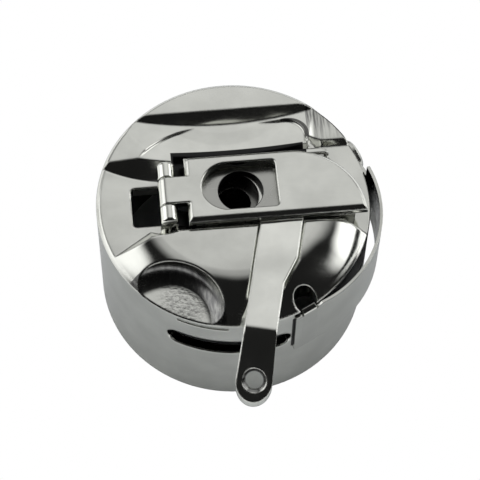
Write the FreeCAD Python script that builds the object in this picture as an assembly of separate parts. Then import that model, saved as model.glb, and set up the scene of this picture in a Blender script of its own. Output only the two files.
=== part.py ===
import FreeCAD, Part
import math
import os

# Sewing-machine bobbin case. Millimetres and degrees.
# X runs along the latch to the lever's tip, Z along the bobbin's axis to the domed front.
# The origin is the axis at the open end, and heights named RISE or DROP start at the rim.

# Cup
CASE_RADIUS = 11.2
WALL = 0.8
RIM_Z = 13.3
CHAMBER_DEPTH = 12.1
EDGE_BREAK = 0.3
MOUTH_BREAK = 0.2

# Domed front
DOME_RISE = 1.6
DOME_FLAT_RADIUS = 7.1
RIM_LAND = 0.35

# Latch channel across the dome
CHANNEL_RISE = 0.8
CHANNEL_FRONT_Y = -3.15
KEEPER_DEPTH = 0.4
RAIL_INNER_Y = 3.0
RAIL_OUTER_Y = 3.5
RAIL_RISE = 1.5
RAIL_START_X = -3.5
RAIL_UNDERCUT = 0.3

# Groove behind the latch as far as the bay, and the round groove that runs out at the rim
GROOVE_BACK_Y = 5.12
GROOVE_DEPTH = 0.95
GROOVE_SLOPE = 0.75
GROOVE_RADIUS = 4.0
GROOVE_RIM_DEPTH = 0.65
GROOVE_EDGE_START_Y = 2.2
GROOVE_EDGE_X = -8.0
GROOVE_EDGE_Y = 2.81
GROOVE_EDGE_END_Y = 4.45
KEEPER_HEIGHT = 0.4
KEEPER_START_X = -3.6
KEEPER_FRONT_END_X = 1.0
KEEPER_BACK_END_X = 6.0

# Low pad at the hinge end, with the window that the lever's heel swings in
PAD_START_X = -4.6
PAD_WAIST_X = -6.9
PAD_WAIST_Y = -2.3
PAD_DIAGONAL_X = -10.1
PAD_DIAGONAL_Y = -4.4
PAD_WALL_SLOPE = 0.8
HEEL_WINDOW_START_X = -8.3
HEEL_WINDOW_WIDTH = 3.54

# Flat back of the face: a hollow that ends in a bevel at the back segment, and a scoop in it
SEGMENT_Y = 8.65
HOLLOW_HALF_WIDTH = 7.0
HOLLOW_DEPTH = 0.6
HOLLOW_FRONT_DEPTH = 0.08
SCOOP_DEPTH = 0.2
SCOOP_LEFT_X = -8.2
SCOOP_SHOULDER_X = -5.26
SCOOP_SHOULDER_Y = 6.5
SCOOP_CREST_X = -2.2
SCOOP_BACK_Y = 7.6
SCOOP_RIGHT_X = 6.5
SCOOP_CORNER = 1.7

# Open bay behind the lever's tip
BAY_START_X = 6.65
BAY_INNER_RADIUS = 8.6
PLATFORM_DROP = 0.4
BAY_FLOOR_DROP = 0.45
BAY_FOOT_RADIUS = 2.8
BAY_LEDGE_Y = 5.3
BAY_LEDGE_DROP = 0.85
BAY_FIRST_ANGLE = -20.0

# Crescent pocket in the front left shoulder
POCKET_X = -6.23
POCKET_Y = -10.46
POCKET_RADIUS = 4.73
POCKET_FILLET = 1.7
POCKET_DROP = 0.3

# Openings in the wall
SLOT_FIRST_ANGLE = 236.0
SLOT_LAST_ANGLE = 289.5
SLOT_TOP_DROP = 3.1
SLOT_BOTTOM_DROP = 5.3
SLIT_FIRST_ANGLE = 241.0
SLIT_LAST_ANGLE = 262.6
SLIT_DROP = 0.75
SLIT_HEIGHT = 0.28
SLIT_DEPTH = 0.35
NOTCH_ANGLE = -63.0
NOTCH_CENTRE_RADIUS = 10.6
NOTCH_RADIUS = 0.95
NOTCH_DROP = 2.2
THREAD_SLOT_WIDTH = 0.6
THREAD_SLOT_ANGLE = 4.0
THREAD_SLOT_END_ANGLE = -38.0
THREAD_SLOT_TOP_DROP = 3.8

# Centre post
POST_RADIUS = 2.9
STUD_BORE_RADIUS = 1.4
POST_SINK = 1.2
POST_SHOULDER_RADIUS = 2.0
POST_CHAMFER = 0.25

# Latch slide
SLIDE_THICKNESS = 0.75
SLIDE_HALF_WIDTH = 2.85
SLIDE_END_X = 7.6
SLIDE_HOLE_X = 0.55
SLIDE_HOLE_RADIUS = 1.82
SLIDE_GAP = 0.1
KNUCKLE_INNER_Y = 1.3
KNUCKLE_OUTER_Y = 2.75
KNUCKLE_RADIUS = 0.72
KNUCKLE_ROUNDING = 0.3
HINGE_X = -5.35
HINGE_RISE = 1.9
HINGE_WEB = 1.5
WEB_FOOT = 0.3
PIN_RADIUS = 0.35
PIN_RUNNING_FIT = 0.03

# Latch lever
LEVER_RISE = 2.6
LEVER_THICKNESS = 0.8
LEVER_HALF_WIDTH = 2.95
LEVER_SHOULDER_X = -3.85
LEVER_TIP_X = 10.5
TONGUE_HALF_WIDTH = 1.2
HEEL_THICKNESS = 0.6
HEEL_LENGTH = 1.6
WINDOW_LEFT_X = -2.6
WINDOW_BOW = 1.9
WINDOW_RIGHT_X = 3.5
WINDOW_HALF_WIDTH = 2.13
WINDOW_CORNER = 0.35
LEVER_EDGE_BREAK = 0.3

# Coil spring and the lug that it pushes
WIRE_RADIUS = 0.12
COIL_RADIUS = 0.42
COIL_TURNS = 5
COIL_PITCH = 0.7
COIL_Y = -2.2
COIL_RISE = 0.15
COIL_START_X = 5.2
TROUGH_HALF_WIDTH = 0.8
TROUGH_DROP = 0.55
LUG_THICKNESS = 0.6
LUG_HALF_WIDTH = 0.65

# Thread finger
FINGER_ANGLE = -103.5
FINGER_ROOT_X = 1.8
FINGER_ROOT_Y = -3.25
FINGER_ROOT_END_Y = -3.0
FINGER_ROOT_LAP = 1.4
FINGER_RISE = 1.75
FINGER_THICKNESS = 0.7
FINGER_ROOT_WIDTH = 3.35
FINGER_SHOULDER = 2.5
FINGER_WAIST = 4.9
FINGER_WAIST_WIDTH = 2.6
FINGER_BEND = 9.3
FINGER_BEND_RADIUS = 1.2
FINGER_TIP_LENGTH = 5.7
FINGER_TIP_TILT = 32.0
FINGER_TIP_WIDTH = 2.9
EYE_FROM_END = 1.75
EYE_RADIUS = 0.7
EYE_RING_RADIUS = 1.0
EYE_RING_DEPTH = 0.3
FINGER_SLOT_GAP = 0.12
RIVET_RADIUS = 0.5
RIVET_HEAD_RADIUS = 0.85
RIVET_HEAD_HEIGHT = 0.4
RIVET_COVER = 0.25
RIVET_SIDE = 1.7
RIVET_FIRST = 1.2
RIVET_PITCH = 1.9

# Tension spring
LEAF_THICKNESS = 0.25
LEAF_SEAT_GAP = 0.03
LEAF_FREE_ANGLE = -69.5
LEAF_LIFT_ANGLE = -58.0
LEAF_BULGE_ANGLE = -14.0
LEAF_BULGE = 0.75
LEAF_LAND_ANGLE = 20.0
LEAF_END_ANGLE = 56.0
LEAF_TOP_DROP = 0.35
LEAF_BOTTOM_DROP = 6.4
LEAF_LIP_DROP = 0.75
LEAF_DIP_RADIUS = 2.0
LEAF_STEP_ANGLE = 12.0
LEAF_STEP_DROP = 1.8
LIP_CURL_RADIUS = 0.45
LIP_HALF_WIDTH = 0.6

# Screws
SCREW_DROP = 4.1
ADJUST_ANGLE = 28.0
FIX_ANGLE = 46.0
SCREW_RADIUS = 0.7
SCREW_FIT = 0.03
SCREW_HEAD_HEIGHT = 0.8
ADJUST_HEAD_RADIUS = 1.5
FIX_HEAD_RADIUS = 1.2
SCREW_SLOT_WIDTH = 0.35
SCREW_SLOT_DEPTH = 0.4
SCREW_TIP_SETBACK = 0.05

# Worked out from the values above
INNER_RADIUS = CASE_RADIUS - WALL
DOME_Z = RIM_Z + DOME_RISE
CHANNEL_Z = RIM_Z + CHANNEL_RISE
SLIDE_TOP_Z = CHANNEL_Z + SLIDE_THICKNESS
HINGE_Z = RIM_Z + HINGE_RISE
LEVER_TOP_Z = RIM_Z + LEVER_RISE
FINGER_TOP_Z = RIM_Z + FINGER_RISE
FINGER_FLOOR_Z = FINGER_TOP_Z - FINGER_THICKNESS
BAY_Z = RIM_Z - BAY_LEDGE_DROP
CLEAR_Z = LEVER_TOP_Z + CASE_RADIUS
LUG_X = COIL_START_X + COIL_TURNS * COIL_PITCH + 2 * WIRE_RADIUS
HEEL_REACH = math.hypot(KNUCKLE_RADIUS, HEEL_LENGTH) + SLIDE_GAP
OVERCUT = 2 * CASE_RADIUS
DIAGONAL = math.sqrt(1 / 2)
SAME_PLACE = 0.02
QUARTERS_IN_TURN = 4
COIL_TEST_STEPS = 48

UP = FreeCAD.Vector(0, 0, 1)
ORIGIN = FreeCAD.Vector(0, 0, 0)


def point(x, y, z=0.0):
    return FreeCAD.Vector(x, y, z)


def polar(radius, degrees, z=0.0):
    angle = math.radians(degrees)
    return point(radius * math.cos(angle), radius * math.sin(angle), z)


def box(x0, x1, y0, y1, z0, z1):
    return Part.makeBox(x1 - x0, y1 - y0, z1 - z0, point(x0, y0, z0))


def disc(radius, z0, z1, x=0.0, y=0.0):
    return Part.makeCylinder(radius, z1 - z0, point(x, y, z0))


def outline_wire(points):
    return Part.makePolygon(points + [points[0]])


def prism(wire, height):
    return Part.Face(wire).extrude(point(0, 0, height))


def sector(inner, outer, first, last, z0, z1):
    """A ring's part between two angles."""
    middle = (first + last) / 2
    edges = [
        Part.Arc(polar(outer, first, z0), polar(outer, middle, z0), polar(outer, last, z0)).toShape(),
        Part.makeLine(polar(outer, last, z0), polar(inner, last, z0)),
        Part.Arc(polar(inner, last, z0), polar(inner, middle, z0), polar(inner, first, z0)).toShape(),
        Part.makeLine(polar(inner, first, z0), polar(outer, first, z0)),
    ]
    return prism(Part.Wire(edges), z1 - z0)


def across(points, x0, x1):
    """A (y, z) outline carried along X."""
    wire = outline_wire([point(x0, y, z) for y, z in points])
    return Part.Face(wire).extrude(point(x1 - x0, 0, 0))


def edges_at(shape, z):
    return [edge for edge in shape.Edges if abs(edge.CenterOfMass.z - z) < SAME_PLACE]


def break_top_edges(shape, top, size):
    """Chamfers every edge that lies at the height top."""
    return shape.makeChamfer(size, edges_at(shape, top))


def round_corners(block, radius):
    """Fillets a box's four upright edges, which are centred at half its height."""
    return block.makeFillet(radius, edges_at(block, block.BoundBox.Center.z))


def along_y(radius, x, z, y0, y1):
    return Part.makeCylinder(radius, y1 - y0, point(x, y0, z), point(0, 1, 0))


# Cup and dome turned in one piece
def turned_blank():
    shoulder = CASE_RADIUS - RIM_LAND - DOME_FLAT_RADIUS
    round_radius = (shoulder ** 2 + DOME_RISE ** 2) / (2 * DOME_RISE)
    half_turn = math.asin(shoulder / round_radius) / 2
    middle = point(
        DOME_FLAT_RADIUS + round_radius * math.sin(half_turn),
        0,
        DOME_Z - round_radius * (1 - math.cos(half_turn)),
    )
    foot = point(CASE_RADIUS - RIM_LAND, 0, RIM_Z)
    crest = point(DOME_FLAT_RADIUS, 0, DOME_Z)
    start = [
        point(0, 0, CHAMBER_DEPTH),
        point(INNER_RADIUS, 0, CHAMBER_DEPTH),
        point(INNER_RADIUS, 0, MOUTH_BREAK),
        point(INNER_RADIUS + MOUTH_BREAK, 0, 0),
        point(CASE_RADIUS - MOUTH_BREAK, 0, 0),
        point(CASE_RADIUS, 0, MOUTH_BREAK),
        point(CASE_RADIUS, 0, RIM_Z - EDGE_BREAK),
        point(CASE_RADIUS - EDGE_BREAK, 0, RIM_Z),
        foot,
    ]
    edges = [Part.makeLine(a, b) for a, b in zip(start, start[1:])]
    edges.append(Part.Arc(foot, middle, crest).toShape())
    edges.append(Part.makeLine(crest, point(0, 0, DOME_Z)))
    edges.append(Part.makeLine(point(0, 0, DOME_Z), start[0]))
    return Part.Face(Part.Wire(edges)).revolve(ORIGIN, UP, 360)


def pad_cut():
    """The low pad's room, whose walls lean back as they rise."""
    lean = PAD_WALL_SLOPE * 2 * DOME_RISE
    reach = OVERCUT
    fall = (PAD_WAIST_Y - PAD_DIAGONAL_Y) / (PAD_WAIST_X - PAD_DIAGONAL_X)
    far_y = PAD_WAIST_Y - fall * (reach + PAD_WAIST_X)

    def ring(grow, z):
        return outline_wire([
            point(PAD_START_X, RAIL_OUTER_Y + grow, z),
            point(-reach, RAIL_OUTER_Y + grow, z),
            point(-reach, far_y - grow, z),
            point(PAD_WAIST_X, PAD_WAIST_Y - grow, z),
            point(PAD_START_X, CHANNEL_FRONT_Y, z),
        ])

    return Part.makeLoft([ring(0, RIM_Z), ring(lean, RIM_Z + 2 * DOME_RISE)], True, True)


def hollow(extra):
    """A long shallow hollow across the back of the face, deeper behind, bevelled where it ends."""
    radius = (HOLLOW_HALF_WIDTH ** 2 + HOLLOW_DEPTH ** 2) / (2 * HOLLOW_DEPTH)
    fall = (HOLLOW_DEPTH - HOLLOW_FRONT_DEPTH) / (SEGMENT_Y - GROOVE_BACK_Y)
    axis_z = RIM_Z + radius - HOLLOW_FRONT_DEPTH - extra
    start = point(0, GROOVE_BACK_Y - OVERCUT, axis_z + fall * OVERCUT)
    end = point(0, GROOVE_BACK_Y + OVERCUT, axis_z - fall * OVERCUT)
    round_cut = Part.makeCylinder(radius, start.distanceToPoint(end), start, end - start)
    slab = box(-OVERCUT, OVERCUT, RAIL_OUTER_Y, OVERCUT, RIM_Z - 2 * WALL, RIM_Z + WALL)
    bevel = across(
        [
            (SEGMENT_Y - 2 * WALL, RIM_Z - 2 * WALL),
            (SEGMENT_Y + WALL, RIM_Z + WALL),
            (OVERCUT, RIM_Z + WALL),
            (OVERCUT, RIM_Z - 2 * WALL),
        ],
        -OVERCUT,
        OVERCUT,
    )
    return round_cut.common(slab).cut(bevel)


def scoop_outline():
    """The scoop seen from above, with a long curve on its left and a round corner on its right."""
    floor = RIM_Z - WALL
    turn = SCOOP_CORNER * (1 - DIAGONAL)
    left = point(SCOOP_LEFT_X, RAIL_OUTER_Y, floor)
    crest = point(SCOOP_CREST_X, SCOOP_BACK_Y, floor)
    corner_start = point(SCOOP_RIGHT_X - SCOOP_CORNER, SCOOP_BACK_Y, floor)
    corner_end = point(SCOOP_RIGHT_X, SCOOP_BACK_Y - SCOOP_CORNER, floor)
    corner_middle = point(SCOOP_RIGHT_X - turn, SCOOP_BACK_Y - turn, floor)
    right = point(SCOOP_RIGHT_X, RAIL_OUTER_Y, floor)
    edges = [
        Part.Arc(left, point(SCOOP_SHOULDER_X, SCOOP_SHOULDER_Y, floor), crest).toShape(),
        Part.makeLine(crest, corner_start),
        Part.Arc(corner_start, corner_middle, corner_end).toShape(),
        Part.makeLine(corner_end, right),
        Part.makeLine(right, left),
    ]
    return prism(Part.Wire(edges), 2 * WALL)


def groove_side():
    """Everything behind the pad's curved back edge."""
    floor = RIM_Z - 2 * WALL
    near = point(PAD_START_X, GROOVE_EDGE_START_Y, floor)
    far = point(-CASE_RADIUS, GROOVE_EDGE_END_Y, floor)
    edges = [
        Part.Arc(near, point(GROOVE_EDGE_X, GROOVE_EDGE_Y, floor), far).toShape(),
        Part.makeLine(far, point(-CASE_RADIUS, SEGMENT_Y, floor)),
        Part.makeLine(point(-CASE_RADIUS, SEGMENT_Y, floor), point(PAD_START_X, SEGMENT_Y, floor)),
        Part.makeLine(point(PAD_START_X, SEGMENT_Y, floor), near),
    ]
    return prism(Part.Wire(edges), 2 * WALL)


def back_cuts():
    """The flat back of the face, the groove in front of it, its hollow and scoop."""
    flat = box(-OVERCUT, OVERCUT, RAIL_OUTER_Y, OVERCUT, RIM_Z, CLEAR_Z)
    bottom = RIM_Z - GROOVE_DEPTH
    back_foot = GROOVE_BACK_Y - GROOVE_SLOPE
    groove = across(
        [(GROOVE_BACK_Y, RIM_Z), (back_foot, bottom), (RAIL_OUTER_Y, bottom), (RAIL_OUTER_Y, RIM_Z)],
        PAD_START_X,
        BAY_START_X,
    )
    start = point(PAD_START_X, GROOVE_EDGE_START_Y, bottom + GROOVE_RADIUS)
    end = point(-CASE_RADIUS, GROOVE_EDGE_START_Y, RIM_Z - GROOVE_RIM_DEPTH + GROOVE_RADIUS)
    pad_groove = Part.makeCylinder(GROOVE_RADIUS, start.distanceToPoint(end), start, end - start)
    scoop = hollow(SCOOP_DEPTH).common(scoop_outline())
    return [flat, groove, pad_groove.common(groove_side()), hollow(0), scoop]


def bay_cuts():
    """The bay behind the lever's tip: a platform, a floor with a round foot, and a ledge below it."""
    core = disc(BAY_INNER_RADIUS, 0, CLEAR_Z)
    platform = box(BAY_START_X, OVERCUT, RAIL_OUTER_Y, OVERCUT, RIM_Z - PLATFORM_DROP, CLEAR_Z)
    floor_z = RIM_Z - BAY_FLOOR_DROP
    foot_reach = math.sqrt(BAY_FOOT_RADIUS ** 2 - (BAY_FOOT_RADIUS - BAY_FLOOR_DROP) ** 2)
    foot_x = BAY_START_X + foot_reach
    foot = along_y(BAY_FOOT_RADIUS, foot_x, floor_z + BAY_FOOT_RADIUS, BAY_LEDGE_Y, OVERCUT)
    floor = box(foot_x, OVERCUT, BAY_LEDGE_Y, OVERCUT, floor_z, CLEAR_Z)
    rise = CLEAR_Z - BAY_Z
    ledge_foot_y = BAY_LEDGE_Y - BAY_LEDGE_DROP + BAY_FLOOR_DROP
    ledge = across(
        [(0, BAY_Z), (ledge_foot_y, BAY_Z), (ledge_foot_y + rise, CLEAR_Z), (0, CLEAR_Z)],
        BAY_START_X,
        OVERCUT,
    )
    front_ledge = sector(BAY_INNER_RADIUS, OVERCUT, BAY_FIRST_ANGLE, 0, BAY_Z, CLEAR_Z)
    lower = foot.fuse([floor, ledge]).cut(core)
    return [platform.common(core), lower, front_ledge]


def heel_window():
    """The window in the face that the lever's heel swings through."""
    half = HEEL_WINDOW_WIDTH / 2
    end_x = HINGE_X + HEEL_REACH
    block = box(HEEL_WINDOW_START_X, end_x, -half, half, CHAMBER_DEPTH - WALL, CLEAR_Z)
    return round_corners(block, WINDOW_CORNER)


def pocket_cut():
    """The crescent pocket at the rim, whose floor curves up into its wall."""
    floor_z = RIM_Z - POCKET_DROP
    pocket = disc(POCKET_RADIUS, floor_z, CLEAR_Z, POCKET_X, POCKET_Y)
    return pocket.makeFillet(POCKET_FILLET, edges_at(pocket, floor_z))


def wall_slot():
    """The long slot in the wall, with round ends."""
    top = RIM_Z - SLOT_TOP_DROP
    bottom = RIM_Z - SLOT_BOTTOM_DROP
    inner = INNER_RADIUS - WALL
    outer = CASE_RADIUS + WALL
    end_radius = (top - bottom) / 2
    end_turn = math.degrees(end_radius / CASE_RADIUS)
    first = SLOT_FIRST_ANGLE + end_turn
    last = SLOT_LAST_ANGLE - end_turn
    cuts = [sector(inner, outer, first, last, bottom, top)]
    for angle in (first, last):
        centre = polar(inner, angle, bottom + end_radius)
        cuts.append(Part.makeCylinder(end_radius, outer - inner, centre, polar(1, angle)))
    return cuts


def thread_slot():
    """Thread's way in from the open end, then along under the leaf."""
    top = RIM_Z - THREAD_SLOT_TOP_DROP
    half = THREAD_SLOT_WIDTH / 2
    up = box(INNER_RADIUS - WALL, CASE_RADIUS + WALL, -half, half, -WALL, top)
    up.rotate(ORIGIN, UP, THREAD_SLOT_ANGLE)
    run = sector(
        INNER_RADIUS - WALL,
        CASE_RADIUS + WALL,
        THREAD_SLOT_END_ANGLE,
        THREAD_SLOT_ANGLE,
        top - THREAD_SLOT_WIDTH,
        top,
    )
    return [up, run]


def in_finger_frame(shape):
    """From the finger's own frame, X along it and Y to its right edge, to the case."""
    shape.rotate(ORIGIN, UP, FINGER_ANGLE)
    shape.translate(point(FINGER_ROOT_X, FINGER_ROOT_Y, 0))
    return shape


def finger_plan(grow, end):
    """The finger seen from above. Its left edge is straight and its right edge has a waist."""
    half_tip = FINGER_TIP_WIDTH / 2 + grow
    tip_mid = FINGER_TIP_WIDTH / 2 - (FINGER_TIP_WIDTH - FINGER_WAIST_WIDTH) / 2
    tip_start = end - half_tip
    corners = [
        point(-FINGER_ROOT_LAP, -grow),
        point(-FINGER_ROOT_LAP, FINGER_ROOT_WIDTH + grow),
        point(FINGER_SHOULDER, FINGER_ROOT_WIDTH + grow),
        point(FINGER_WAIST, FINGER_WAIST_WIDTH + grow),
        point(FINGER_BEND, FINGER_WAIST_WIDTH + grow),
        point(tip_start, tip_mid + half_tip),
    ]
    edges = [Part.makeLine(a, b) for a, b in zip(corners, corners[1:])]
    edges.append(Part.Arc(corners[-1], point(end, tip_mid), point(tip_start, tip_mid - half_tip)).toShape())
    edges.append(Part.makeLine(point(tip_start, tip_mid - half_tip), point(FINGER_BEND, -grow)))
    edges.append(Part.makeLine(point(FINGER_BEND, -grow), corners[0]))
    return Part.Wire(edges), tip_mid


def finger_slot():
    wire, _ = finger_plan(FINGER_SLOT_GAP, FINGER_BEND + FINGER_TIP_LENGTH)
    wire.translate(point(0, 0, FINGER_FLOOR_Z))
    return in_finger_frame(prism(wire, CLEAR_Z - FINGER_FLOOR_Z))


def rivet_places():
    return [point(RIVET_FIRST + i * RIVET_PITCH, RIVET_SIDE, 0) for i in range(2)]


def rivet(grow):
    """One rivet in the finger's frame, its head sunk in the chamber's ceiling."""
    top = FINGER_TOP_Z - RIVET_COVER
    head_z = CHAMBER_DEPTH
    shank = disc(RIVET_RADIUS + grow, head_z, top)
    wide = RIVET_HEAD_RADIUS + grow
    head = Part.makeCone(wide, RIVET_RADIUS + grow, RIVET_HEAD_HEIGHT, point(0, 0, head_z))
    return shank.fuse(head).removeSplitter()


def rivets(grow=0.0):
    made = []
    for place in rivet_places():
        one = rivet(grow)
        one.translate(place)
        made.append(in_finger_frame(one))
    return made


def screw_hole(angle):
    hole = Part.makeCylinder(SCREW_RADIUS + SCREW_FIT, OVERCUT, ORIGIN, point(1, 0, 0))
    hole.rotate(ORIGIN, UP, angle)
    hole.translate(point(0, 0, RIM_Z - SCREW_DROP))
    return hole


def keeper_room(low_y, high_y, end_x):
    """The undercut in the channel's wall that keeps the slide down."""
    return box(PAD_START_X, end_x, low_y, high_y, CHANNEL_Z, CHANNEL_Z + KEEPER_HEIGHT)


def keeper(low_y, high_y, end_x):
    """The slide's edge that runs in that undercut."""
    low_z = CHANNEL_Z + SLIDE_GAP / 2
    high_z = CHANNEL_Z + KEEPER_HEIGHT - SLIDE_GAP
    return box(KEEPER_START_X, end_x - SLIDE_GAP, low_y, high_y, low_z, high_z)


def case_body():
    body = turned_blank()
    channel_end = math.sqrt(INNER_RADIUS ** 2 - CHANNEL_FRONT_Y ** 2)
    cuts = back_cuts() + [
        pad_cut(),
        box(PAD_START_X, channel_end, CHANNEL_FRONT_Y, RAIL_INNER_Y, CHANNEL_Z, CLEAR_Z),
        box(PAD_START_X, OVERCUT, RAIL_INNER_Y - WALL, RAIL_OUTER_Y, RIM_Z + RAIL_RISE, CLEAR_Z),
        keeper_room(CHANNEL_FRONT_Y - KEEPER_DEPTH, 0, KEEPER_FRONT_END_X),
        keeper_room(0, RAIL_INNER_Y + RAIL_UNDERCUT, KEEPER_BACK_END_X),
        heel_window(),
        box(PAD_START_X, RAIL_START_X, RAIL_INNER_Y, RAIL_OUTER_Y, RIM_Z - GROOVE_DEPTH, CLEAR_Z),
        box(
            COIL_START_X - WIRE_RADIUS,
            LUG_X + LUG_THICKNESS,
            COIL_Y - TROUGH_HALF_WIDTH,
            COIL_Y + TROUGH_HALF_WIDTH,
            RIM_Z - TROUGH_DROP,
            CLEAR_Z,
        ),
        pocket_cut(),
        disc(
            NOTCH_RADIUS,
            RIM_Z - NOTCH_DROP,
            CLEAR_Z,
            polar(NOTCH_CENTRE_RADIUS, NOTCH_ANGLE).x,
            polar(NOTCH_CENTRE_RADIUS, NOTCH_ANGLE).y,
        ),
        sector(
            CASE_RADIUS - SLIT_DEPTH,
            CASE_RADIUS + WALL,
            SLIT_FIRST_ANGLE,
            SLIT_LAST_ANGLE,
            RIM_Z - SLIT_DROP - SLIT_HEIGHT,
            RIM_Z - SLIT_DROP,
        ),
        disc(POST_RADIUS, CHAMBER_DEPTH - WALL, CHANNEL_Z - POST_SINK),
        disc(POST_SHOULDER_RADIUS, CHAMBER_DEPTH - WALL, CLEAR_Z),
        finger_slot(),
        screw_hole(ADJUST_ANGLE),
        screw_hole(FIX_ANGLE),
    ]
    cuts += bay_cuts() + wall_slot() + thread_slot() + rivets()
    for cut in cuts:
        body = body.cut(cut)
    return body


def centre_post():
    top = CHANNEL_Z - POST_SINK
    tube = disc(POST_RADIUS, 0, top).cut(disc(STUD_BORE_RADIUS, -WALL, top + WALL))
    ring = disc(POST_RADIUS + POST_CHAMFER, 0, POST_CHAMFER)
    lead = Part.makeCone(POST_RADIUS - POST_CHAMFER, POST_RADIUS, POST_CHAMFER)
    return tube.cut(ring.cut(lead))


# Latch slide, its knuckles and the coil spring's lug
def latch_slide():
    under = CHANNEL_Z + SLIDE_GAP / 2
    plate = box(HINGE_X + HINGE_WEB, SLIDE_END_X, -SLIDE_HALF_WIDTH, SLIDE_HALF_WIDTH, under, SLIDE_TOP_Z)
    front_keeper = keeper(CHANNEL_FRONT_Y - KEEPER_DEPTH + SLIDE_GAP, 0, KEEPER_FRONT_END_X)
    back_keeper = keeper(0, RAIL_INNER_Y + RAIL_UNDERCUT - SLIDE_GAP, KEEPER_BACK_END_X)
    lug_arm = box(
        SLIDE_END_X,
        LUG_X + LUG_THICKNESS,
        COIL_Y - LUG_HALF_WIDTH,
        COIL_Y + LUG_HALF_WIDTH,
        CHANNEL_Z + SLIDE_GAP / 2,
        SLIDE_TOP_Z,
    )
    lug = box(
        LUG_X,
        LUG_X + LUG_THICKNESS,
        COIL_Y - LUG_HALF_WIDTH,
        COIL_Y + LUG_HALF_WIDTH,
        RIM_Z - TROUGH_DROP + SLIDE_GAP,
        SLIDE_TOP_Z,
    )
    slide = plate.fuse([front_keeper, back_keeper, lug_arm, lug])
    for side in (-1, 1):
        low = min(side * KNUCKLE_INNER_Y, side * KNUCKLE_OUTER_Y)
        high = max(side * KNUCKLE_INNER_Y, side * KNUCKLE_OUTER_Y)
        web_outline = [
            point(HINGE_X, low, under),
            point(HINGE_X + HINGE_WEB + WEB_FOOT, low, under),
            point(HINGE_X + HINGE_WEB + WEB_FOOT, low, under + WEB_FOOT),
            point(HINGE_X + HINGE_WEB, low, under + WEB_FOOT),
            point(HINGE_X, low, HINGE_Z),
        ]
        web = Part.Face(outline_wire(web_outline)).extrude(point(0, high - low, 0))
        barrel = along_y(KNUCKLE_RADIUS, HINGE_X, HINGE_Z, low, high)
        outer_rim = [
            edge for edge in barrel.Edges
            if abs(edge.CenterOfMass.y - side * KNUCKLE_OUTER_Y) < SAME_PLACE
        ]
        slide = slide.fuse([web, barrel.makeFillet(KNUCKLE_ROUNDING, outer_rim)])
    hole = disc(SLIDE_HOLE_RADIUS, CHANNEL_Z - WALL, CLEAR_Z, SLIDE_HOLE_X)
    heel_room = box(
        HINGE_X - KNUCKLE_RADIUS - SLIDE_GAP,
        HINGE_X + HEEL_REACH,
        -KNUCKLE_INNER_Y,
        KNUCKLE_INNER_Y,
        CHANNEL_Z - WALL,
        CLEAR_Z,
    )
    pin_hole = along_y(PIN_RADIUS, HINGE_X, HINGE_Z, -KNUCKLE_OUTER_Y, KNUCKLE_OUTER_Y)
    for cut in (hole, heel_room, pin_hole):
        slide = slide.cut(cut)
    return slide


def latch_hinge_pin():
    return along_y(PIN_RADIUS, HINGE_X, HINGE_Z, -KNUCKLE_OUTER_Y, KNUCKLE_OUTER_Y)


# Latch lever with its rolled hinge, heel and window
def lever_plan(z):
    half = LEVER_HALF_WIDTH
    bow_radius = 2 * half
    bow_x = LEVER_TIP_X - bow_radius
    bow_middle = bow_radius * DIAGONAL
    upper = point(bow_x, half, z)
    tip = point(LEVER_TIP_X, -half, z)
    corner_front = point(LEVER_SHOULDER_X, -half, z)
    corner_back = point(LEVER_SHOULDER_X, half, z)
    edges = [
        Part.Arc(upper, point(bow_x + bow_middle, bow_middle - half, z), tip).toShape(),
        Part.makeLine(tip, corner_front),
        Part.makeLine(corner_front, corner_back),
        Part.makeLine(corner_back, upper),
    ]
    return Part.Wire(edges)


def lever_window(z0, z1):
    half = WINDOW_HALF_WIDTH
    left = WINDOW_LEFT_X + WINDOW_BOW
    r = WINDOW_CORNER
    k = r * (1 - DIAGONAL)
    right = WINDOW_RIGHT_X
    edges = [
        Part.Arc(point(left, half, z0), point(WINDOW_LEFT_X, 0, z0), point(left, -half, z0)).toShape(),
        Part.makeLine(point(left, -half, z0), point(right - r, -half, z0)),
        Part.Arc(
            point(right - r, -half, z0), point(right - k, -half + k, z0), point(right, -half + r, z0)
        ).toShape(),
        Part.makeLine(point(right, -half + r, z0), point(right, half - r, z0)),
        Part.Arc(
            point(right, half - r, z0), point(right - k, half - k, z0), point(right - r, half, z0)
        ).toShape(),
        Part.makeLine(point(right - r, half, z0), point(left, half, z0)),
    ]
    return prism(Part.Wire(edges), z1 - z0)


def latch_lever():
    bottom = LEVER_TOP_Z - LEVER_THICKNESS
    plate = break_top_edges(prism(lever_plan(bottom), LEVER_THICKNESS), LEVER_TOP_Z, LEVER_EDGE_BREAK)
    plate = plate.cut(lever_window(bottom - WALL, LEVER_TOP_Z + WALL))
    tongue_end_x = LEVER_SHOULDER_X + WALL
    tongue = box(HINGE_X, tongue_end_x, -TONGUE_HALF_WIDTH, TONGUE_HALF_WIDTH, bottom, LEVER_TOP_Z)
    roll = along_y(KNUCKLE_RADIUS, HINGE_X, HINGE_Z, -TONGUE_HALF_WIDTH, TONGUE_HALF_WIDTH)
    heel = box(
        HINGE_X - KNUCKLE_RADIUS,
        HINGE_X - KNUCKLE_RADIUS + HEEL_THICKNESS,
        -TONGUE_HALF_WIDTH,
        TONGUE_HALF_WIDTH,
        HINGE_Z - HEEL_LENGTH,
        HINGE_Z,
    )
    lever = plate.fuse([tongue, roll, heel])
    bore = along_y(PIN_RADIUS + PIN_RUNNING_FIT, HINGE_X, HINGE_Z, -KNUCKLE_OUTER_Y, KNUCKLE_OUTER_Y)
    return lever.cut(bore).removeSplitter()


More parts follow.
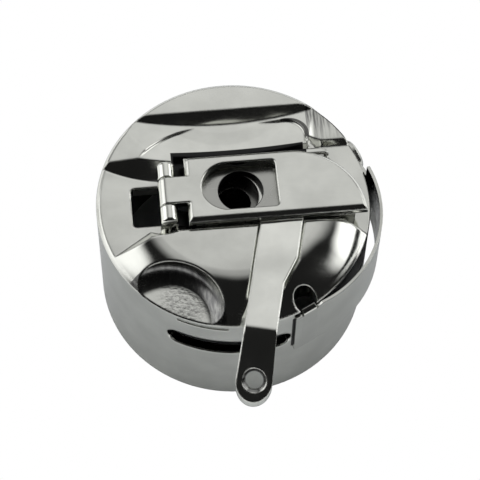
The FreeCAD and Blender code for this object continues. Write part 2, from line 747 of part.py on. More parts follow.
# Coil spring as one tube on arcs of an eighth of a turn
def helix_point(turn):
    angle = 2 * math.pi * turn
    return point(
        COIL_START_X + COIL_PITCH * turn + WIRE_RADIUS,
        COIL_Y + COIL_RADIUS * math.cos(angle),
        RIM_Z + COIL_RISE + COIL_RADIUS * math.sin(angle),
    )


def helix_tangent(turn):
    angle = 2 * math.pi * turn
    swing = 2 * math.pi * COIL_RADIUS
    heading = point(COIL_PITCH, -swing * math.sin(angle), swing * math.cos(angle))
    return heading.normalize()


def tangent_arc(start, corner, end):
    """The arc from start to end whose end tangents meet at corner."""
    chord_middle = (start + end) / 2
    half_cosine = (end - start).Length / 2 / (corner - start).Length
    middle = chord_middle + (corner - chord_middle) * (half_cosine / (1 + half_cosine))
    return Part.Arc(start, middle, end).toShape()


def biarc(start, start_heading, end, end_heading):
    gap = end - start
    a = 2 * (1 - start_heading.dot(end_heading))
    b = 2 * gap.dot(start_heading + end_heading)
    c = gap.dot(gap)
    reach = (-b + math.sqrt(b * b + 4 * a * c)) / (2 * a)
    first_corner = start + start_heading * reach
    last_corner = end - end_heading * reach
    joint = (first_corner + last_corner) / 2
    return [tangent_arc(start, first_corner, joint), tangent_arc(joint, last_corner, end)]


def latch_coil_spring():
    edges = []
    for i in range(COIL_TURNS * QUARTERS_IN_TURN):
        a = i / QUARTERS_IN_TURN
        b = (i + 1) / QUARTERS_IN_TURN
        edges += biarc(helix_point(a), helix_tangent(a), helix_point(b), helix_tangent(b))
    path = Part.Wire(edges)
    ring = Part.Wire(Part.makeCircle(WIRE_RADIUS, helix_point(0), helix_tangent(0)))
    return path.makePipeShell([ring], True, False)


def print_coil_gap():
    steps = COIL_TEST_STEPS
    places = [helix_point(i / steps) for i in range(COIL_TURNS * steps + 1)]
    apart = steps // 2
    least = min(
        (p - q).Length
        for i, p in enumerate(places)
        for q in places[i + apart:]
    )
    print("coil spring least gap to itself, mm:", round(least - 2 * WIRE_RADIUS, 3))


# Thread finger and its rivets
def thread_finger():
    tilt = math.radians(FINGER_TIP_TILT)
    top = FINGER_TOP_Z
    thick = FINGER_THICKNESS
    end_x = FINGER_BEND + FINGER_TIP_LENGTH * math.cos(tilt)
    past_end = FINGER_TIP_LENGTH + thick
    far_x = FINGER_BEND + past_end * math.cos(tilt)
    far_z = top - past_end * math.sin(tilt)
    lean_x = thick * math.sin(tilt)
    lean_z = thick * math.cos(tilt)
    under_bend = FINGER_BEND - thick * math.tan(tilt / 2)
    over = FINGER_TIP_WIDTH
    side = [
        point(-FINGER_ROOT_LAP, -over, top),
        point(FINGER_BEND, -over, top),
        point(far_x, -over, far_z),
        point(far_x - lean_x, -over, far_z - lean_z),
        point(under_bend, -over, top - thick),
        point(-FINGER_ROOT_LAP, -over, top - thick),
    ]
    strip = Part.Face(outline_wire(side)).extrude(point(0, 3 * over, 0))
    bend_edges = [
        edge for edge in strip.Edges
        if math.hypot(edge.CenterOfMass.x - FINGER_BEND, edge.CenterOfMass.z - top) < SAME_PLACE
    ]
    strip = strip.makeFillet(FINGER_BEND_RADIUS, bend_edges)
    wire, tip_mid = finger_plan(0.0, end_x)
    finger = strip.common(prism(wire, CLEAR_Z))
    along = FINGER_TIP_LENGTH - EYE_FROM_END
    eye = point(FINGER_BEND + along * math.cos(tilt), tip_mid, top - along * math.sin(tilt))
    out = point(math.sin(tilt), 0, math.cos(tilt))
    hole = Part.makeCylinder(EYE_RADIUS, 4 * thick, eye - out * (2 * thick), out)
    ring = Part.makeCone(EYE_RADIUS, EYE_RING_RADIUS, EYE_RING_DEPTH, eye - out * EYE_RING_DEPTH, out)
    finger = in_finger_frame(finger.cut(hole).cut(ring))
    finger = finger.cut(box(-OVERCUT, OVERCUT, FINGER_ROOT_END_Y, OVERCUT, 0, CLEAR_Z))
    for one in rivets():
        finger = finger.cut(one)
    return finger.removeSplitter()


# Tension spring: a leaf that hugs the wall at both ends and stands off between them
def leaf_plan(z):
    seat = CASE_RADIUS + LEAF_SEAT_GAP

    def run(offset):
        hug = Part.Arc(
            polar(seat + offset, LEAF_FREE_ANGLE, z),
            polar(seat + offset, (LEAF_FREE_ANGLE + LEAF_LIFT_ANGLE) / 2, z),
            polar(seat + offset, LEAF_LIFT_ANGLE, z),
        ).toShape()
        stand = Part.Arc(
            polar(seat + offset, LEAF_LIFT_ANGLE, z),
            polar(seat + offset + LEAF_BULGE, LEAF_BULGE_ANGLE, z),
            polar(seat + offset, LEAF_LAND_ANGLE, z),
        ).toShape()
        fixed = Part.Arc(
            polar(seat + offset, LEAF_LAND_ANGLE, z),
            polar(seat + offset, (LEAF_LAND_ANGLE + LEAF_END_ANGLE) / 2, z),
            polar(seat + offset, LEAF_END_ANGLE, z),
        ).toShape()
        return [hug, stand, fixed]

    ends = [
        Part.makeLine(polar(seat, a, z), polar(seat + LEAF_THICKNESS, a, z))
        for a in (LEAF_FREE_ANGLE, LEAF_END_ANGLE)
    ]
    return Part.Wire(Part.__sortEdges__(run(0) + run(LEAF_THICKNESS) + ends))


def leaf_lip():
    """The curled lip at the free end, which dips into the thread notch."""
    outer = CASE_RADIUS + LEAF_SEAT_GAP + LEAF_THICKNESS
    top = RIM_Z - LEAF_LIP_DROP
    r = LIP_CURL_RADIUS
    t = LEAF_THICKNESS
    q = DIAGONAL
    half = LIP_HALF_WIDTH
    centre_x = outer - r
    edges = [
        Part.Arc(
            point(outer, -half, top),
            point(centre_x + r * q, -half, top + r * q),
            point(centre_x, -half, top + r),
        ).toShape(),
        Part.makeLine(point(centre_x, -half, top + r), point(centre_x, -half, top + r - t)),
        Part.Arc(
            point(centre_x, -half, top + r - t),
            point(centre_x + (r - t) * q, -half, top + (r - t) * q),
            point(outer - t, -half, top),
        ).toShape(),
        Part.makeLine(point(outer - t, -half, top), point(outer, -half, top)),
    ]
    curl = Part.Face(Part.Wire(edges)).extrude(point(0, 2 * half, 0))
    stem = box(outer - t, outer, -half, half, top - SLOT_TOP_DROP, top)
    lip = curl.fuse(stem)
    lip.rotate(ORIGIN, UP, NOTCH_ANGLE)
    return lip


def tension_spring():
    bottom = RIM_Z - LEAF_BOTTOM_DROP
    leaf = prism(leaf_plan(bottom), RIM_Z - LEAF_TOP_DROP - bottom)
    lip_z = RIM_Z - LEAF_LIP_DROP
    trim = sector(INNER_RADIUS, OVERCUT, LEAF_FREE_ANGLE - WALL, NOTCH_ANGLE, lip_z, CLEAR_Z)
    dip = Part.makeCylinder(
        LEAF_DIP_RADIUS, OVERCUT, point(0, 0, lip_z + LEAF_DIP_RADIUS), point(1, 0, 0)
    )
    dip.rotate(ORIGIN, UP, NOTCH_ANGLE)
    step = sector(
        INNER_RADIUS, OVERCUT, LEAF_STEP_ANGLE, LEAF_END_ANGLE + WALL, RIM_Z - LEAF_STEP_DROP, CLEAR_Z
    )
    leaf = leaf.cut(trim).cut(dip).cut(step)
    leaf = leaf.fuse(leaf_lip().cut(disc(CASE_RADIUS + LEAF_SEAT_GAP, 0, lip_z)))
    leaf = leaf.cut(screw_hole(ADJUST_ANGLE)).cut(screw_hole(FIX_ANGLE))
    return leaf.removeSplitter()


# Slotted screws, each pointing in along a radius
def slotted_screw(angle, head_radius):
    seat = CASE_RADIUS + 2 * LEAF_SEAT_GAP + LEAF_THICKNESS
    inward = INNER_RADIUS + SCREW_TIP_SETBACK
    x_axis = point(1, 0, 0)
    shank = Part.makeCylinder(SCREW_RADIUS, seat - inward, point(inward, 0, 0), x_axis)
    head = Part.makeCylinder(head_radius, SCREW_HEAD_HEIGHT, point(seat, 0, 0), x_axis)
    rims = [edge for edge in head.Edges if edge.BoundBox.XMin > seat + SCREW_HEAD_HEIGHT / 2]
    rims = [edge for edge in rims if edge.Closed]
    head = head.makeChamfer(SCREW_SLOT_DEPTH / 2, rims)
    slot = box(
        seat + SCREW_HEAD_HEIGHT - SCREW_SLOT_DEPTH,
        seat + OVERCUT,
        -OVERCUT,
        OVERCUT,
        -SCREW_SLOT_WIDTH / 2,
        SCREW_SLOT_WIDTH / 2,
    )
    screw = shank.fuse(head).cut(slot).removeSplitter()
    screw.rotate(ORIGIN, UP, angle)
    screw.translate(point(0, 0, RIM_Z - SCREW_DROP))
    return screw


NODES = {
    "case_body": case_body(),
    "centre_post": centre_post(),
    "latch_slide": latch_slide(),
    "latch_hinge_pin": latch_hinge_pin(),
    "latch_lever": latch_lever(),
    "latch_coil_spring": latch_coil_spring(),
    "thread_finger": thread_finger(),
    "finger_rivets": Part.makeCompound(rivets()),
    "tension_spring": tension_spring(),
    "tension_adjusting_screw": slotted_screw(ADJUST_ANGLE, ADJUST_HEAD_RADIUS),
    "spring_fixing_screw": slotted_screw(FIX_ANGLE, FIX_HEAD_RADIUS),
}

os.makedirs("parts", exist_ok=True)
for name, shape in NODES.items():
    shape.exportStep("parts/" + name + ".step")
    print(name, len(shape.Solids), "solids, valid", shape.isValid(), "volume", round(shape.Volume, 2))
print_coil_gap()
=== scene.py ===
import bpy
import math
from mathutils import Matrix, Vector


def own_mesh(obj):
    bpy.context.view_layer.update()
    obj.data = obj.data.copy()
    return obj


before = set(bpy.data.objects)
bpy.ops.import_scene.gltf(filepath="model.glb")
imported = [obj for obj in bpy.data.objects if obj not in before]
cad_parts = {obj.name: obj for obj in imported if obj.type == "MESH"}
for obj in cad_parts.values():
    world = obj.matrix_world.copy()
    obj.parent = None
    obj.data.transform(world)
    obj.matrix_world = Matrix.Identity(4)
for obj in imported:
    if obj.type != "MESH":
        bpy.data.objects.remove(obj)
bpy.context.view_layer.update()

MM = 0.001
X_AXIS = (1, 0, 0)
Y_AXIS = (0, 1, 0)
Z_AXIS = (0, 0, 1)
LEVEL = (1, 1, 0)

# Camera, from the ellipses of the rim and the open end in the photograph
CASE_RADIUS = 11.2 * MM
CAMERA_AZIMUTH = -7.0
CAMERA_ELEVATION = 62.46
CAMERA_ROLL = -1.72
CAMERA_DISTANCE = 15.0 * CASE_RADIUS
CAMERA_TARGET = Vector((0.17, -3.66, 13.36)) * MM
CAMERA_LENS = 156.5
SENSOR_WIDTH = 36.0

# Dim room, and softboxes: direction (X right, Y back, Z up), cosines of start and full, strength
CEILING_LEVEL = 0.013
BACK_SOFTBOX = (Vector((0.12, 0.72, 0.68)).normalized(), 0.76, 0.985, 0.74)
RIGHT_SOFTBOX = (Vector((0.90, 0.22, 0.33)).normalized(), 0.82, 0.94, 1.7)
LEFT_SOFTBOX = (Vector((-0.84, 0.24, 0.46)).normalized(), 0.82, 0.95, 1.4)

# A dark bar across the right softbox
BAR_LOW = 0.13
BAR_HIGH = 0.27
BAR_EDGE = 0.03

# Fill light for the floor, kept out of the steel's reflections
FILL_HEIGHT = 0.5
FILL_SIZE = 0.8
FILL_POWER = 1.15
FILL_COLOUR = (0.94, 1.0, 1.04)

# Floor: plain grey under the case, white to the camera round it and far off in reflections
FLOOR_GREY = 0.8
FLOOR_SIZE = 4.0
FLOOR_SEEN_START = CASE_RADIUS - 0.4 * MM
FLOOR_SEEN_FULL = CASE_RADIUS - 0.2 * MM
FLOOR_WHITE_START = 22 * MM
FLOOR_WHITE_END = 50 * MM

# The soft edge of a mark, in millimetres
SOFT_EDGE = 0.06

# Sockets of the Mix node for colours, whose names it shares with other kinds of value
FIRST_COLOUR = 6
SECOND_COLOUR = 7
MIXED_COLOUR = 2


class Wire:
    """A shader node's output. Maths on it reads as Python."""

    def __init__(self, tree, socket):
        self.tree = tree
        self.socket = socket

    def node(self, kind, settings=None, sockets=None, output=0):
        """Another node of this kind in the same tree, as a wire from one of its outputs."""
        return make_node(self.tree, kind, settings, sockets, output)

    def maths(self, operation, *others):
        values = dict(enumerate((self,) + others))
        return self.node("ShaderNodeMath", {"operation": operation}, values)

    def __add__(self, other):
        return self.maths("ADD", other)

    __radd__ = __add__

    def __sub__(self, other):
        return self.maths("SUBTRACT", other)

    def __rsub__(self, other):
        return self.node("ShaderNodeMath", {"operation": "SUBTRACT"}, {0: other, 1: self})

    def __mul__(self, other):
        return self.maths("MULTIPLY", other)

    __rmul__ = __mul__

    def __or__(self, other):
        """Where either of two marks is."""
        return self.maths("MAXIMUM", other)

    __ror__ = __or__

    def vector(self, operation, *others, output=0):
        values = dict(enumerate((self,) + others))
        return self.node("ShaderNodeVectorMath", {"operation": operation}, values, output)

    def dot(self, direction):
        return self.vector("DOT_PRODUCT", direction, output="Value")

    def length(self):
        return self.vector("LENGTH", output="Value")

    def level_distance(self, centre):
        """How far this place is from an upright axis."""
        return self.vector("SUBTRACT", centre).vector("MULTIPLY", LEVEL).length()

    def ramp(self, low, high, start=0.0, end=1.0):
        """A smooth step of this value from low to high."""
        sockets = {"Value": self, "From Min": low, "From Max": high, "To Min": start, "To Max": end}
        return self.node("ShaderNodeMapRange", {"interpolation_type": "SMOOTHSTEP"}, sockets)

    def over(self, limit):
        """1 above a limit, with a soft edge."""
        return self.ramp(limit, limit + SOFT_EDGE)

    def under(self, limit):
        """1 below a limit, with a soft edge."""
        return self.ramp(limit - SOFT_EDGE, limit, 1, 0)

    def mix(self, first, second):
        """Between two colours by this value."""
        sockets = {0: self, FIRST_COLOUR: first, SECOND_COLOUR: second}
        return self.node("ShaderNodeMix", {"data_type": "RGBA"}, sockets, MIXED_COLOUR)

    def noise(self, scale, detail, distortion=0.0):
        sockets = {"Vector": self, "Scale": scale, "Detail": detail, "Distortion": distortion}
        return self.node("ShaderNodeTexNoise", None, sockets)

    def streaks(self, stretch):
        """Noise drawn out along the axes of small stretch."""
        return self.vector("MULTIPLY", stretch).noise(1.0, STREAK_DETAIL)


def make_node(tree, kind, settings=None, sockets=None, output=0):
    made = tree.nodes.new(kind)
    for name, value in (settings or {}).items():
        setattr(made, name, value)
    for name, value in (sockets or {}).items():
        if isinstance(value, Wire):
            tree.links.new(value.socket, made.inputs[name])
        else:
            made.inputs[name].default_value = value
    return Wire(tree, made.outputs[output])


def close_tree(tree, kind, shader):
    end = tree.nodes.new(kind)
    tree.links.new(shader.socket, end.inputs["Surface"])


def new_tree(owner):
    owner.use_nodes = True
    owner.node_tree.nodes.clear()
    return owner.node_tree


def grey(value, tint=(1.0, 1.0, 1.0)):
    return tuple(value * share for share in tint) + (1.0,)


# Steel with fine marks along one direction, sparse scratches and cloudy handling marks
STEEL_TINT = (0.99, 1.0, 0.94)
STREAK_DETAIL = 3.0
CLOUD_SCALE = 0.35
CLOUD_DETAIL = 4.0
CLOUD_SCRATCHED = (0.45, 0.7)
CLOUD_ROUGH = (0.3, 0.75)
CLOUD_BRIGHT = (0.25, 0.8)
SMOOTHEST = 0.8
ROUGHEST = 1.3
DULLEST = 0.84
SCRATCH_STRETCH = (0.35, 2.6, 0.6)
SCRATCH_SCALE = 1.7
SCRATCH_DETAIL = 2.0
SCRATCH_BEND = 0.4
SCRATCH_WIDTH = 0.006
SCRATCH_DEPTH = 0.09
SCRATCH_ROUGHNESS = 0.06
NOISE_MIDDLE = 0.5
WAVE_SCALE = 0.22
WAVE_DETAIL = 1.0
WAVE_DEPTH = 22.0
MARK_STRENGTH = 0.2
MARK_HEIGHT = 0.03 * MM
EDGE_SAMPLES = 8


def steel(name, brightness, roughness, grain, grain_depth, edge, marks=None):
    """Polished or ground steel, with edges that catch the light as if rounded by edge millimetres."""
    material = bpy.data.materials.new(name)
    tree = new_tree(material)
    place = make_node(tree, "ShaderNodeTexCoord", output="Object")
    millimetres = place.vector("MULTIPLY", (1 / MM, 1 / MM, 1 / MM))
    cloud = millimetres.noise(CLOUD_SCALE, CLOUD_DETAIL)
    line = millimetres.vector("MULTIPLY", SCRATCH_STRETCH)
    line = line.noise(SCRATCH_SCALE, SCRATCH_DETAIL, SCRATCH_BEND)
    scratch = (line - NOISE_MIDDLE).maths("ABSOLUTE").ramp(0.0, SCRATCH_WIDTH, 1.0, 0.0)
    scratch = scratch * cloud.ramp(*CLOUD_SCRATCHED)
    wave = millimetres.noise(WAVE_SCALE, WAVE_DETAIL) * WAVE_DEPTH
    height = wave + millimetres.streaks(grain) * grain_depth - scratch * SCRATCH_DEPTH
    rough = cloud.ramp(*CLOUD_ROUGH, roughness * SMOOTHEST, roughness * ROUGHEST)
    rough = rough + scratch * SCRATCH_ROUGHNESS
    dull = grey(brightness * DULLEST, STEEL_TINT)
    paint = cloud.ramp(*CLOUD_BRIGHT).mix(dull, grey(brightness, STEEL_TINT))
    if marks:
        height, rough, paint = marks(millimetres, height, rough, paint)
    rounded = make_node(tree, "ShaderNodeBevel", {"samples": EDGE_SAMPLES}, {"Radius": edge * MM})
    bump = height.node(
        "ShaderNodeBump",
        None,
        {"Height": height, "Strength": MARK_STRENGTH, "Distance": MARK_HEIGHT, "Normal": rounded},
    )
    shader = make_node(
        tree,
        "ShaderNodeBsdfPrincipled",
        None,
        {"Base Color": paint, "Roughness": rough, "Metallic": 1.0, "Normal": bump},
    )
    close_tree(tree, "ShaderNodeOutputMaterial", shader)
    return material


def inside_box(millimetres, near, far):
    """1 between two corners, with a soft edge."""
    here = None
    for axis, low, high in zip((X_AXIS, Y_AXIS, Z_AXIS), near, far):
        along = millimetres.dot(axis)
        part = along.over(low) * along.under(high)
        here = part if here is None else here * part
    return here


# Painted shade behind the latch and the leaf, at the leaf's end, along the rail and in the post's hole,
# and on the inside of the case
# The grey of painted shade, and of the painted dark reflection at the scoop
SHADE_AND_REFLECTION_GREY = 0.03
SHADED_ROUGHNESS = 0.3
GROOVE_NEAR = (-4.8, 3.45, 11.0)
GROOVE_FAR = (6.25, 5.2, 13.2)
RAIL_NEAR = (-4.8, 2.9, 12.9)
RAIL_FAR = (6.3, 3.58, 14.9)
UNDER_LEAF_NEAR = (5.0, -9.8, 6.9)
UNDER_LEAF_FAR = (11.4, 2.25, 12.95)
LEAF_END_NEAR = (3.72, -11.3, 7.2)
LEAF_END_FAR = (4.1, -10.0, 12.3)
POST_HOLE_RADIUS = 2.08
INSIDE_RADIUS = 11.1
INSIDE_TOP_Z = 12.2
INSIDE_DARKNESS = 0.8


# Where shade is painted on the case
def case_painted_shade(millimetres, radius):
    under_leaf = inside_box(millimetres, UNDER_LEAF_NEAR, UNDER_LEAF_FAR) * radius.over(INSIDE_RADIUS)
    leaf_end = inside_box(millimetres, LEAF_END_NEAR, LEAF_END_FAR)
    groove = inside_box(millimetres, GROOVE_NEAR, GROOVE_FAR)
    rail = inside_box(millimetres, RAIL_NEAR, RAIL_FAR)
    return groove | under_leaf | leaf_end | rail | radius.under(POST_HOLE_RADIUS)


# Painted shade in the bay, streaked and darker towards its back
BAY_NEAR = (6.7, 5.25, 12.6)
BAY_FAR = (10.6, 8.8, 13.28)
BAY_FADE = (5.2, 8.0)
BAY_FRONT_SHARE = 0.3
BAY_STREAK = (4.5, 0.4, 0.4)
BAY_STREAK_RANGE = (0.38, 0.62)
BAY_FAINTEST = 0.15
BAY_DARKNESS = 0.85
BAY_SHADE_GREY = 0.12


def bay_streaks_and_shade(millimetres):
    bay = inside_box(millimetres, BAY_NEAR, BAY_FAR)
    bay = bay * millimetres.dot(Y_AXIS).ramp(*BAY_FADE, BAY_FRONT_SHARE, 1.0)
    return bay * millimetres.streaks(BAY_STREAK).ramp(*BAY_STREAK_RANGE, BAY_FAINTEST, 1.0)


# A painted dark reflection: a crescent round the scoop's right corner, between two circles
SCOOP_CORNER = (4.8, 5.9, 0.0)
SCOOP_CORNER_RADIUS = 1.64
SHADE_CENTRE = (5.0, 5.95, 0.0)
SHADE_RADIUS = 1.86
SHADE_NEAR = (4.6, 5.5, 12.5)
SHADE_FAR = (6.95, 8.2, 13.4)
SHADE_DARKNESS = 0.85


def scoop_shade(millimetres):
    outside_corner = millimetres.level_distance(SCOOP_CORNER).over(SCOOP_CORNER_RADIUS)
    in_shade = millimetres.level_distance(SHADE_CENTRE).under(SHADE_RADIUS)
    return outside_corner * in_shade * inside_box(millimetres, SHADE_NEAR, SHADE_FAR)


# The crescent pocket has a pitted patch on its floor and a dull, streaked wall with painted shade
POCKET_CENTRE = (-6.23, -10.46, 0.0)
POCKET_RADIUS = 4.73
POCKET_EDGE = 0.1
POCKET_FLOOR_Z = 13.0
POCKET_FLOOR_FADE = (0.02, 0.08)
PATCH_CENTRE = (-4.7, -8.6, 0.0)
PATCH_FADE = (0.8, 2.6)
PIT_SCALE = 3.6
PIT_DETAIL = 5.0
PIT_DEPTH = 9.0
PIT_ROUGHNESS = 0.1
PIT_RANGE = (0.42, 0.6)
PIT_DARKNESS = 0.3
PIT_GREY = 0.25
WALL_FADE = (0.01, 0.12)
WALL_STREAK = (5.0, 1.2, 0.6)
WALL_STREAK_RANGE = (0.3, 0.7)
WALL_FAINTEST = 0.75
WALL_ROUGHNESS = 0.14
WALL_SHADE_GREY = 0.16


def pocket_pits_and_shade(millimetres, height, rough, paint):
    off_centre = millimetres.level_distance(POCKET_CENTRE)
    inside = off_centre.ramp(POCKET_RADIUS - POCKET_EDGE, POCKET_RADIUS, 1, 0)
    over_floor = millimetres.dot(Z_AXIS) - POCKET_FLOOR_Z
    on_floor = over_floor.maths("ABSOLUTE").ramp(*POCKET_FLOOR_FADE, 1, 0)
    patch = inside * on_floor * millimetres.level_distance(PATCH_CENTRE).ramp(*PATCH_FADE, 1, 0)
    pits = millimetres.noise(PIT_SCALE, PIT_DETAIL)
    height = height + patch * pits * PIT_DEPTH
    paint = (patch * pits.ramp(*PIT_RANGE, 0.0, PIT_DARKNESS)).mix(paint, grey(PIT_GREY))
    # Painted shade on the pocket's wall, streaked
    wall = inside * over_floor.ramp(*WALL_FADE)
    streak = millimetres.streaks(WALL_STREAK).ramp(*WALL_STREAK_RANGE, WALL_FAINTEST, 1.0)
    paint = (wall * streak).mix(paint, grey(WALL_SHADE_GREY))
    return height, rough + patch * PIT_ROUGHNESS + wall * WALL_ROUGHNESS, paint


def case_marks_and_shade(millimetres, height, rough, paint):
    height, rough, paint = pocket_pits_and_shade(millimetres, height, rough, paint)
    radius = millimetres.vector("MULTIPLY", LEVEL).length()
    # Painted shade on the inside of the case, below the rim
    inside_shade = radius.under(INSIDE_RADIUS) * millimetres.dot(Z_AXIS).under(INSIDE_TOP_Z)
    paint = (inside_shade * INSIDE_DARKNESS).mix(paint, grey(SHADE_AND_REFLECTION_GREY))
    # Painted shade in the bay
    paint = (bay_streaks_and_shade(millimetres) * BAY_DARKNESS).mix(paint, grey(BAY_SHADE_GREY))
    # Painted dark reflection round the scoop's corner
    paint = (scoop_shade(millimetres) * SHADE_DARKNESS).mix(paint, grey(SHADE_AND_REFLECTION_GREY))
    # Painted shade behind the latch and the leaf and in the post's hole
    painted_shade = case_painted_shade(millimetres, radius)
    return height, rough + painted_shade * SHADED_ROUGHNESS, painted_shade.mix(paint, grey(SHADE_AND_REFLECTION_GREY))


# The slide has painted shade between its knuckles and the lever and in its hole, and polished knuckles
HINGE_NEAR = (-4.75, -3.2, 13.0)
HINGE_FAR = (-3.2, 3.4, 15.1)
SLIDE_HOLE = (0.55, 0.0, 0.0)
SLIDE_HOLE_RADIUS = 1.89
KNUCKLE_FRONT_X = -4.6
KNUCKLE_BRIGHTNESS = 0.85
KNUCKLE_SMOOTHING = 0.12


def slide_shade_and_polish(millimetres, height, rough, paint):
    hole = millimetres.level_distance(SLIDE_HOLE).under(SLIDE_HOLE_RADIUS)
    # Painted shade in the hole and between the knuckles and the lever
    painted_shade = hole | inside_box(millimetres, HINGE_NEAR, HINGE_FAR)
    knuckle = millimetres.dot(X_AXIS).under(KNUCKLE_FRONT_X)
    paint = knuckle.mix(paint, grey(KNUCKLE_BRIGHTNESS, STEEL_TINT))
    rough = rough - knuckle * KNUCKLE_SMOOTHING + painted_shade * SHADED_ROUGHNESS
    return height, rough, painted_shade.mix(paint, grey(SHADE_AND_REFLECTION_GREY))


# The thread has dulled the finger round its eye, and the eye's ring has painted shade
EYE = (0.11, -15.85, 12.96)
WEAR_FADE = (0.9, 2.2)
WEAR_SCALE = 2.5
WEAR_DETAIL = 4.0
WEAR_RANGE = (0.3, 0.7)
WEAR_SHARE = 0.35
WEAR_GREY = 0.45
WEAR_DEPTH = 0.5
WEAR_ROUGHNESS = 0.16
RING_FADE = (0.92, 1.0)
RING_SHARE = 0.8
RING_SHADE_GREY = 0.1


def finger_wear_and_shade(millimetres, height, rough, paint):
    off_eye = millimetres.vector("SUBTRACT", EYE).length()
    patchy = millimetres.noise(WEAR_SCALE, WEAR_DETAIL).ramp(*WEAR_RANGE)
    worn = off_eye.ramp(*WEAR_FADE, 1, 0) * patchy
    paint = (worn * WEAR_SHARE).mix(paint, grey(WEAR_GREY))
    # Painted shade on the eye's ring
    paint = (off_eye.ramp(*RING_FADE, 1, 0) * RING_SHARE).mix(paint, grey(RING_SHADE_GREY))
    return height + worn * WEAR_DEPTH, rough + worn * WEAR_ROUGHNESS, paint


# The leaf's inner face has painted shade
FACING_IN = (-0.6, -0.3)


def leaf_painted_shade(millimetres, height, rough, paint):
    outward = millimetres.vector("MULTIPLY", LEVEL).vector("NORMALIZE")
    facing = millimetres.node("ShaderNodeNewGeometry", output="Normal")
    # Painted shade on the inner face
    inner = outward.dot(facing).ramp(*FACING_IN, 1, 0)
    return height, rough, inner.mix(paint, grey(SHADE_AND_REFLECTION_GREY))


# Finishes. A grain is fine along the axes of large stretch.
case_polish = steel(
    "case polish", brightness=0.80, roughness=0.10, grain=(0.9, 0.9, 4.0), grain_depth=0.25, edge=0.30,
    marks=case_marks_and_shade,
)
turned_post = steel(
    "turned post", brightness=0.30, roughness=0.30, grain=(0.6, 0.6, 9.0), grain_depth=0.8, edge=0.1
)
ground_slide = steel(
    "ground slide", brightness=0.56, roughness=0.24, grain=(6.0, 0.7, 0.7), grain_depth=0.6, edge=0.15,
    marks=slide_shade_and_polish,
)
ground_pin = steel(
    "ground pin", brightness=0.75, roughness=0.14, grain=(0.8, 6.0, 0.8), grain_depth=0.3, edge=0.1
)
lever_polish = steel(
    "lever polish", brightness=0.82, roughness=0.11, grain=(0.5, 5.0, 1.0), grain_depth=0.3, edge=0.25
)
finger_polish = steel(
    "finger polish", brightness=0.98, roughness=0.11, grain=(5.0, 0.6, 1.0), grain_depth=0.3, edge=0.26,
    marks=finger_wear_and_shade,
)
coil_steel = steel(
    "spring steel", brightness=0.72, roughness=0.15, grain=(0.7, 0.7, 6.0), grain_depth=0.4, edge=0.06
)
leaf_steel = steel(
    "leaf steel", brightness=0.72, roughness=0.15, grain=(0.7, 0.7, 6.0), grain_depth=0.4, edge=0.06,
    marks=leaf_painted_shade,
)
screw_steel = steel(
    "screw steel", brightness=0.66, roughness=0.2, grain=(4.0, 4.0, 4.0), grain_depth=0.5, edge=0.08
)


def paint_node(name, material):
    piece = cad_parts[name]
    piece.data.materials.clear()
    piece.data.materials.append(material)


paint_node("case_body", case_polish)
paint_node("centre_post", turned_post)
paint_node("latch_slide", ground_slide)
paint_node("latch_hinge_pin", ground_pin)
paint_node("finger_rivets", ground_pin)
paint_node("latch_lever", lever_polish)
paint_node("thread_finger", finger_polish)
paint_node("latch_coil_spring", coil_steel)
paint_node("tension_spring", leaf_steel)
paint_node("tension_adjusting_screw", screw_steel)
paint_node("spring_fixing_screw", screw_steel)

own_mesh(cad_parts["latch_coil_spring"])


# A pale floor that the camera sees as white
def make_floor():
    bpy.ops.mesh.primitive_plane_add(size=FLOOR_SIZE, location=(0, 0, 0))
    floor = bpy.context.object
    floor.name = "floor"
    material = bpy.data.materials.new("pale floor")
    tree = new_tree(material)
    distance = make_node(tree, "ShaderNodeTexCoord", output="Object").length()
    outside = distance.ramp(FLOOR_SEEN_START, FLOOR_SEEN_FULL)
    far_off = distance.ramp(FLOOR_WHITE_START, FLOOR_WHITE_END)
    seen = make_node(tree, "ShaderNodeLightPath", output="Is Camera Ray") * outside
    mirrored = make_node(tree, "ShaderNodeLightPath", output="Is Glossy Ray") * far_off
    pale = make_node(tree, "ShaderNodeBsdfDiffuse", None, {"Color": grey(FLOOR_GREY)})
    white = make_node(tree, "ShaderNodeEmission", None, {"Color": grey(1.0), "Strength": 1.0})
    shader = seen.node("ShaderNodeMixShader", None, {0: seen | mirrored, 1: pale, 2: white})
    close_tree(tree, "ShaderNodeOutputMaterial", shader)
    floor.data.materials.append(material)


# Studio light: a broad softbox behind and above, one each side, a dim room and a fill for the floor
def softbox_light(direction, toward, start, full, strength):
    return direction.dot(toward).ramp(start, full, 0.0, strength)


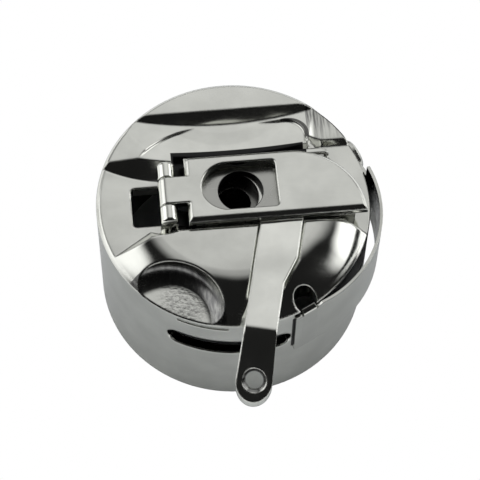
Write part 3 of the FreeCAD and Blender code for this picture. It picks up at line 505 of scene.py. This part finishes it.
def make_light():
    world = bpy.data.worlds.new("studio")
    bpy.context.scene.world = world
    tree = new_tree(world)
    direction = make_node(tree, "ShaderNodeTexCoord", output="Generated")
    height = direction.dot(Z_AXIS)
    bar = height.ramp(BAR_LOW - BAR_EDGE, BAR_LOW) * height.ramp(BAR_HIGH, BAR_HIGH + BAR_EDGE, 1, 0)
    level = softbox_light(direction, *BACK_SOFTBOX) + softbox_light(direction, *LEFT_SOFTBOX)
    level = level + softbox_light(direction, *RIGHT_SOFTBOX) * (1 - bar) + CEILING_LEVEL
    seen = make_node(tree, "ShaderNodeLightPath", output="Is Camera Ray")
    colour = level * (1 - seen) + seen
    shader = make_node(tree, "ShaderNodeBackground", None, {"Color": colour, "Strength": 1.0})
    close_tree(tree, "ShaderNodeOutputWorld", shader)
    data = bpy.data.lights.new("floor fill", "AREA")
    data.size = FILL_SIZE
    data.energy = FILL_POWER
    data.color = FILL_COLOUR
    fill = bpy.data.objects.new("floor fill", data)
    fill.location = (0, 0, FILL_HEIGHT)
    fill.visible_glossy = False
    bpy.context.scene.collection.objects.link(fill)


def make_camera():
    azimuth = math.radians(CAMERA_AZIMUTH)
    elevation = math.radians(CAMERA_ELEVATION)
    roll = math.radians(CAMERA_ROLL)
    back = Vector((
        math.sin(azimuth) * math.cos(elevation),
        -math.cos(azimuth) * math.cos(elevation),
        math.sin(elevation),
    ))
    level_right = Vector((math.cos(azimuth), math.sin(azimuth), 0))
    level_up = back.cross(level_right)
    right = level_right * math.cos(roll) - level_up * math.sin(roll)
    up = level_right * math.sin(roll) + level_up * math.cos(roll)
    turn = Matrix((right, up, back)).transposed().to_4x4()
    data = bpy.data.cameras.new("camera")
    data.sensor_width = SENSOR_WIDTH
    data.lens = CAMERA_LENS
    data.clip_start = MM
    camera = bpy.data.objects.new("camera", data)
    camera.matrix_world = Matrix.Translation(CAMERA_TARGET + back * CAMERA_DISTANCE) @ turn
    bpy.context.scene.collection.objects.link(camera)
    bpy.context.scene.camera = camera


make_floor()
make_light()
make_camera()
bpy.context.scene.view_settings.view_transform = "Standard"
